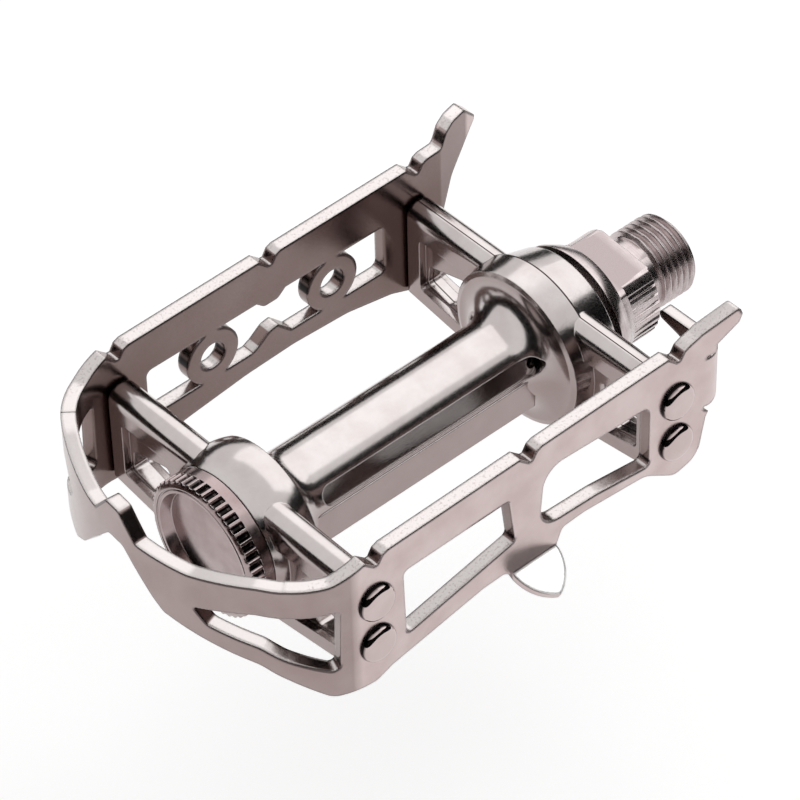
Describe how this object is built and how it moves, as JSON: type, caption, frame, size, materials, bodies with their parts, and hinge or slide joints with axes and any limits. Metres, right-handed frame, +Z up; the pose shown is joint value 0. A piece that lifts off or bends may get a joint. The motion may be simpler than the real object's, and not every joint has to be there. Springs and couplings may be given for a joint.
{
  "type": "road bicycle pedal",
  "caption": "Metal road bicycle pedal: a bent cage riveted to a cast body that turns on a threaded spindle, with a ribbed dust cap at the outer end.",
  "frame": {"origin": "on the spindle's axis, in the plane of the shoulder that seats on the crank", "axes": "+X along the spindle towards the crank, +Y towards the front plate with the toe-clip eyes, +Z up, out of the side that the shoe stands on in the picture"},
  "size_m": [0.1124, 0.0712, 0.0351],
  "materials": {
    "spindle_steel": "turned, slightly dull",
    "bearing_steel": "ground and polished",
    "plated_steel": "plated",
    "seal_plastic": "matt",
    "cast_alloy": "cast and polished, with dark grime in the corners",
    "cage_alloy": "satin faces with bright worn edges",
    "rivet_alloy": "satin",
    "cap_alloy": "satin, ribbed rim"
  },
  "bodies": {
    "spindle": {"spindle": "spindle_steel", "outboard_cone": "bearing_steel", "lock_washer": "plated_steel", "lock_nut": "plated_steel"},
    "pedal": {"pedal_body": "cast_alloy", "cage": "cage_alloy", "rivet_1": "rivet_alloy", "rivet_2": "rivet_alloy", "rivet_3": "rivet_alloy", "rivet_4": "rivet_alloy", "rivet_5": "rivet_alloy", "rivet_6": "rivet_alloy", "rivet_7": "rivet_alloy", "rivet_8": "rivet_alloy", "inboard_cup": "bearing_steel", "outboard_cup": "bearing_steel", "inboard_seal": "seal_plastic"},
    "dust_cap": {"dust_cap": "cap_alloy"},
    "inboard_balls": {"inboard_ball_01": "bearing_steel", "inboard_ball_02": "bearing_steel", "inboard_ball_03": "bearing_steel", "inboard_ball_04": "bearing_steel", "inboard_ball_05": "bearing_steel", "inboard_ball_06": "bearing_steel", "inboard_ball_07": "bearing_steel", "inboard_ball_08": "bearing_steel", "inboard_ball_09": "bearing_steel", "inboard_ball_10": "bearing_steel", "inboard_ball_11": "bearing_steel", "inboard_ball_12": "bearing_steel"},
    "outboard_balls": {"outboard_ball_01": "bearing_steel", "outboard_ball_02": "bearing_steel", "outboard_ball_03": "bearing_steel", "outboard_ball_04": "bearing_steel", "outboard_ball_05": "bearing_steel", "outboard_ball_06": "bearing_steel", "outboard_ball_07": "bearing_steel", "outboard_ball_08": "bearing_steel", "outboard_ball_09": "bearing_steel", "outboard_ball_10": "bearing_steel"}
  },
  "joints": [
    {"name": "pedal_spin", "type": "hinge", "parent": "spindle", "child": "pedal", "pos_m": [-0.04925, 0, 0], "axis": [1, 0, 0], "continuous": true},
    {"name": "inboard_balls_roll", "type": "hinge", "parent": "spindle", "child": "inboard_balls", "pos_m": [-0.0175, 0, 0], "axis": [1, 0, 0], "continuous": true},
    {"name": "outboard_balls_roll", "type": "hinge", "parent": "spindle", "child": "outboard_balls", "pos_m": [-0.0786, 0, 0], "axis": [1, 0, 0], "continuous": true},
    {"name": "dust_cap_out", "type": "slide", "parent": "pedal", "child": "dust_cap", "axis": [-1, 0, 0], "range_m": [0, 0.006]}
  ],
  "couplings": [
    {"joint": "inboard_balls_roll", "follows": "pedal_spin", "ratio": 0.5877},
    {"joint": "outboard_balls_roll", "follows": "pedal_spin", "ratio": 0.6047}
  ]
}
